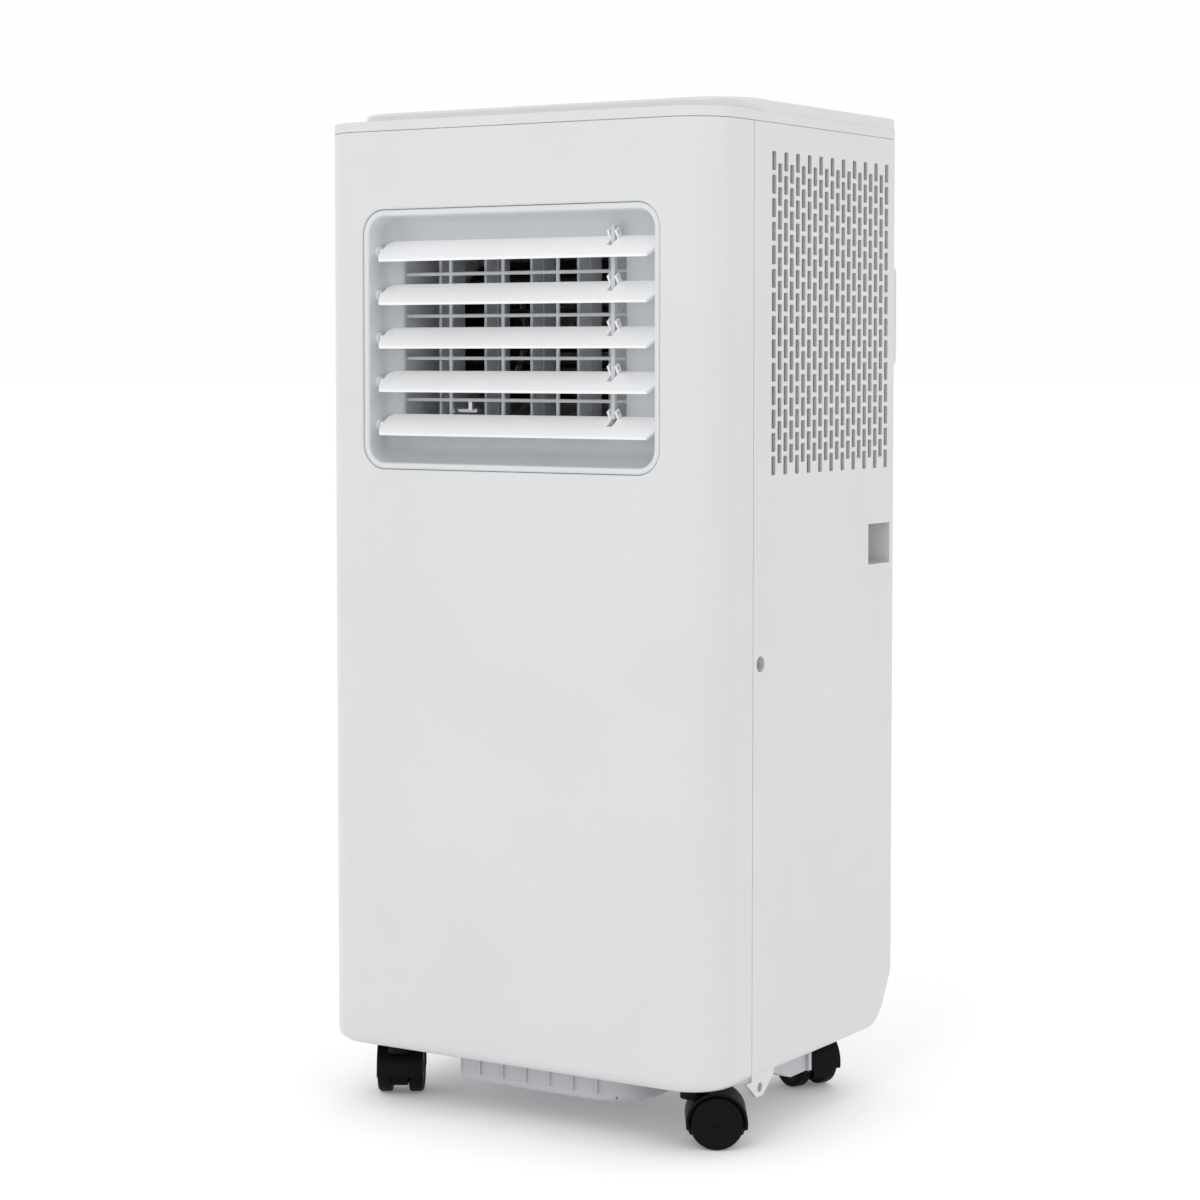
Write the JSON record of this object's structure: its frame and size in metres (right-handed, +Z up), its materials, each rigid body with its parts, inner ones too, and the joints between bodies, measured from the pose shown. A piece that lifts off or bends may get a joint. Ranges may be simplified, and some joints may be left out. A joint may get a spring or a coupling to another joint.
{
  "type": "portable air conditioner",
  "caption": "Free-standing room air conditioner on swivel casters, with a louvred front outlet, slotted side grilles and a round rear exhaust spigot.",
  "frame": {"origin": "on the floor, under the middle of the bounding box", "axes": "+Z up, the front with the outlet faces -Y, +X is on the right of someone facing the front"},
  "size_m": [0.3167, 0.274, 0.69],
  "materials": {
    "white_housing": "satin gloss",
    "outlet_white": "satin gloss",
    "louver_white": "satin gloss",
    "guard_grey": "satin",
    "vane_grey": "satin",
    "panel_grey": "satin",
    "display_black": "gloss",
    "button_grey": "satin gloss",
    "base_grey": "satin",
    "foam_grey": "matte",
    "fan_black": "matte",
    "filter_grey": "matte",
    "board_case": "satin",
    "motor_metal": "satin",
    "compressor_black": "satin",
    "coil_metal": "brushed",
    "copper": "polished",
    "bright_metal": "polished",
    "rubber_black": "matte",
    "caster_black": "satin",
    "wheel_black": "satin"
  },
  "bodies": {
    "cabinet": {"front_housing": "white_housing", "rear_housing": "white_housing", "right_intake_grille": "white_housing", "left_intake_grille": "white_housing", "grip_cups": "white_housing", "top_cover": "white_housing", "control_panel": "panel_grey", "display_window": "display_black", "outlet_frame": "outlet_white", "safety_grille": "guard_grey", "louver_motor": "motor_metal", "thermistor": "bright_metal", "blower_scroll": "foam_grey", "blower_motor": "motor_metal", "condenser_fan_motor": "motor_metal", "exhaust_duct": "foam_grey", "exhaust_collar": "outlet_white", "evaporator": "coil_metal", "condenser": "coil_metal", "compressor": "compressor_black", "accumulator": "compressor_black", "refrigerant_pipes": "copper", "drain_tray": "base_grey", "control_box": "board_case", "base_pan": "base_grey", "cord_hooks": "outlet_white", "cord_gland": "rubber_black", "housing_screws": "bright_metal"},
    "power_button": {"power_button": "button_grey"},
    "mode_button": {"mode_button": "button_grey"},
    "warmer_button": {"warmer_button": "button_grey"},
    "cooler_button": {"cooler_button": "button_grey"},
    "speed_button": {"speed_button": "button_grey"},
    "louver_1": {"louver_1": "louver_white"},
    "louver_2": {"louver_2": "louver_white"},
    "louver_3": {"louver_3": "louver_white"},
    "louver_4": {"louver_4": "louver_white"},
    "louver_5": {"louver_5": "louver_white"},
    "louver_link_rod": {"louver_link_rod": "guard_grey"},
    "vane_1": {"vane_1": "vane_grey"},
    "vane_2": {"vane_2": "vane_grey"},
    "vane_3": {"vane_3": "vane_grey"},
    "vane_4": {"vane_4": "vane_grey"},
    "vane_link_bar": {"vane_link_bar": "vane_grey"},
    "blower_wheel": {"blower_wheel": "fan_black"},
    "condenser_fan": {"condenser_fan": "fan_black"},
    "rear_filter": {"rear_filter": "filter_grey"},
    "drain_plug": {"drain_plug": "rubber_black"},
    "front_right_caster": {"front_right_caster_hood": "caster_black"},
    "front_right_wheel_a": {"front_right_caster_wheel_a": "wheel_black"},
    "front_right_wheel_b": {"front_right_caster_wheel_b": "wheel_black"},
    "front_left_caster": {"front_left_caster_hood": "caster_black"},
    "front_left_wheel_a": {"front_left_caster_wheel_a": "wheel_black"},
    "front_left_wheel_b": {"front_left_caster_wheel_b": "wheel_black"},
    "rear_right_caster": {"rear_right_caster_hood": "caster_black"},
    "rear_right_wheel_a": {"rear_right_caster_wheel_a": "wheel_black"},
    "rear_right_wheel_b": {"rear_right_caster_wheel_b": "wheel_black"},
    "rear_left_caster": {"rear_left_caster_hood": "caster_black"},
    "rear_left_wheel_a": {"rear_left_caster_wheel_a": "wheel_black"},
    "rear_left_wheel_b": {"rear_left_caster_wheel_b": "wheel_black"}
  },
  "joints": [
    {"name": "power_press", "type": "slide", "parent": "cabinet", "child": "power_button", "axis": [0, 0, -1], "range_m": [0, 0.0008], "stiffness_N_per_m": 600},
    {"name": "mode_press", "type": "slide", "parent": "cabinet", "child": "mode_button", "axis": [0, 0, -1], "range_m": [0, 0.0008], "stiffness_N_per_m": 600},
    {"name": "warmer_press", "type": "slide", "parent": "cabinet", "child": "warmer_button", "axis": [0, 0, -1], "range_m": [0, 0.0008], "stiffness_N_per_m": 600},
    {"name": "cooler_press", "type": "slide", "parent": "cabinet", "child": "cooler_button", "axis": [0, 0, -1], "range_m": [0, 0.0008], "stiffness_N_per_m": 600},
    {"name": "speed_press", "type": "slide", "parent": "cabinet", "child": "speed_button", "axis": [0, 0, -1], "range_m": [0, 0.0008], "stiffness_N_per_m": 600},
    {"name": "louver_1_tilt", "type": "hinge", "parent": "cabinet", "child": "louver_1", "pos_m": [0, -0.1242, 0.5936], "axis": [1, 0, 0], "range_deg": [-30, 18]},
    {"name": "louver_2_tilt", "type": "hinge", "parent": "cabinet", "child": "louver_2", "pos_m": [0, -0.1242, 0.564], "axis": [1, 0, 0], "range_deg": [-30, 18]},
    {"name": "louver_3_tilt", "type": "hinge", "parent": "cabinet", "child": "louver_3", "pos_m": [0, -0.1242, 0.5344], "axis": [1, 0, 0], "range_deg": [-30, 18]},
    {"name": "louver_4_tilt", "type": "hinge", "parent": "cabinet", "child": "louver_4", "pos_m": [0, -0.1242, 0.5048], "axis": [1, 0, 0], "range_deg": [-30, 18]},
    {"name": "louver_5_tilt", "type": "hinge", "parent": "cabinet", "child": "louver_5", "pos_m": [0, -0.1242, 0.4752], "axis": [1, 0, 0], "range_deg": [-30, 18]},
    {"name": "louver_link_pivot", "type": "hinge", "parent": "louver_1", "child": "louver_link_rod", "pos_m": [0.073, -0.11871, 0.60334], "axis": [1, 0, 0], "range_deg": [-18.5, 30.5]},
    {"name": "vane_1_turn", "type": "hinge", "parent": "cabinet", "child": "vane_1", "pos_m": [-0.0765, -0.0895, 0.532], "axis": [0, 0, 1], "range_deg": [-25, 25]},
    {"name": "vane_2_turn", "type": "hinge", "parent": "cabinet", "child": "vane_2", "pos_m": [-0.0391, -0.0895, 0.532], "axis": [0, 0, 1], "range_deg": [-25, 25]},
    {"name": "vane_3_turn", "type": "hinge", "parent": "cabinet", "child": "vane_3", "pos_m": [-0.0017, -0.0895, 0.532], "axis": [0, 0, 1], "range_deg": [-25, 25]},
    {"name": "vane_4_turn", "type": "hinge", "parent": "cabinet", "child": "vane_4", "pos_m": [0.0357, -0.0895, 0.532], "axis": [0, 0, 1], "range_deg": [-25, 25]},
    {"name": "vane_link_pivot", "type": "hinge", "parent": "vane_1", "child": "vane_link_bar", "pos_m": [-0.0765, -0.0795, 0.4732], "axis": [0, 0, 1], "range_deg": [-25.5, 25.5]},
    {"name": "blower_spin", "type": "hinge", "parent": "cabinet", "child": "blower_wheel", "pos_m": [0, -0.002, 0.54], "axis": [1, 0, 0], "continuous": true},
    {"name": "condenser_fan_spin", "type": "hinge", "parent": "cabinet", "child": "condenser_fan", "pos_m": [0.045, 0.043, 0.17], "axis": [0, 1, 0], "continuous": true},
    {"name": "rear_filter_pull", "type": "slide", "parent": "cabinet", "child": "rear_filter", "axis": [0, 1, 0], "range_m": [0, 0.08]},
    {"name": "drain_plug_pull", "type": "slide", "parent": "cabinet", "child": "drain_plug", "axis": [0, 1, 0], "range_m": [0, 0.03]},
    {"name": "front_right_swivel", "type": "hinge", "parent": "cabinet", "child": "front_right_caster", "pos_m": [0.12, -0.094, 0.044], "axis": [0, 0, 1], "continuous": true},
    {"name": "front_right_wheel_a_roll", "type": "hinge", "parent": "front_right_caster", "child": "front_right_wheel_a", "pos_m": [0.13273, -0.08607, 0.018], "axis": [-0.5284, 0.849, 0], "continuous": true},
    {"name": "front_right_wheel_b_roll", "type": "hinge", "parent": "front_right_caster", "child": "front_right_wheel_b", "pos_m": [0.13273, -0.08607, 0.018], "axis": [-0.5284, 0.849, 0], "continuous": true},
    {"name": "front_left_swivel", "type": "hinge", "parent": "cabinet", "child": "front_left_caster", "pos_m": [-0.12, -0.094, 0.044], "axis": [0, 0, 1], "continuous": true},
    {"name": "front_left_wheel_a_roll", "type": "hinge", "parent": "front_left_caster", "child": "front_left_wheel_a", "pos_m": [-0.12788, -0.08124, 0.018], "axis": [-0.8508, -0.5255, 0], "continuous": true},
    {"name": "front_left_wheel_b_roll", "type": "hinge", "parent": "front_left_caster", "child": "front_left_wheel_b", "pos_m": [-0.12788, -0.08124, 0.018], "axis": [-0.8508, -0.5255, 0], "continuous": true},
    {"name": "rear_right_swivel", "type": "hinge", "parent": "cabinet", "child": "rear_right_caster", "pos_m": [0.12, 0.081, 0.044], "axis": [0, 0, 1], "continuous": true},
    {"name": "rear_right_wheel_a_roll", "type": "hinge", "parent": "rear_right_caster", "child": "rear_right_wheel_a", "pos_m": [0.10677, 0.08807, 0.018], "axis": [-0.471, -0.8821, 0], "continuous": true},
    {"name": "rear_right_wheel_b_roll", "type": "hinge", "parent": "rear_right_caster", "child": "rear_right_wheel_b", "pos_m": [0.10677, 0.08807, 0.018], "axis": [-0.471, -0.8821, 0], "continuous": true},
    {"name": "rear_left_swivel", "type": "hinge", "parent": "cabinet", "child": "rear_left_caster", "pos_m": [-0.12, 0.081, 0.044], "axis": [0, 0, 1], "continuous": true},
    {"name": "rear_left_wheel_a_roll", "type": "hinge", "parent": "rear_left_caster", "child": "rear_left_wheel_a", "pos_m": [-0.12209, 0.09585, 0.018], "axis": [-0.9903, -0.1392, 0], "continuous": true},
    {"name": "rear_left_wheel_b_roll", "type": "hinge", "parent": "rear_left_caster", "child": "rear_left_wheel_b", "pos_m": [-0.12209, 0.09585, 0.018], "axis": [-0.9903, -0.1392, 0], "continuous": true}
  ],
  "couplings": [
    {"joint": "louver_2_tilt", "follows": "louver_1_tilt", "ratio": 1},
    {"joint": "louver_3_tilt", "follows": "louver_1_tilt", "ratio": 1},
    {"joint": "louver_4_tilt", "follows": "louver_1_tilt", "ratio": 1},
    {"joint": "louver_5_tilt", "follows": "louver_1_tilt", "ratio": 1},
    {"joint": "louver_link_pivot", "follows": "louver_1_tilt", "ratio": -1},
    {"joint": "vane_2_turn", "follows": "vane_1_turn", "ratio": 1},
    {"joint": "vane_3_turn", "follows": "vane_1_turn", "ratio": 1},
    {"joint": "vane_4_turn", "follows": "vane_1_turn", "ratio": 1},
    {"joint": "vane_link_pivot", "follows": "vane_1_turn", "ratio": -1}
  ]
}
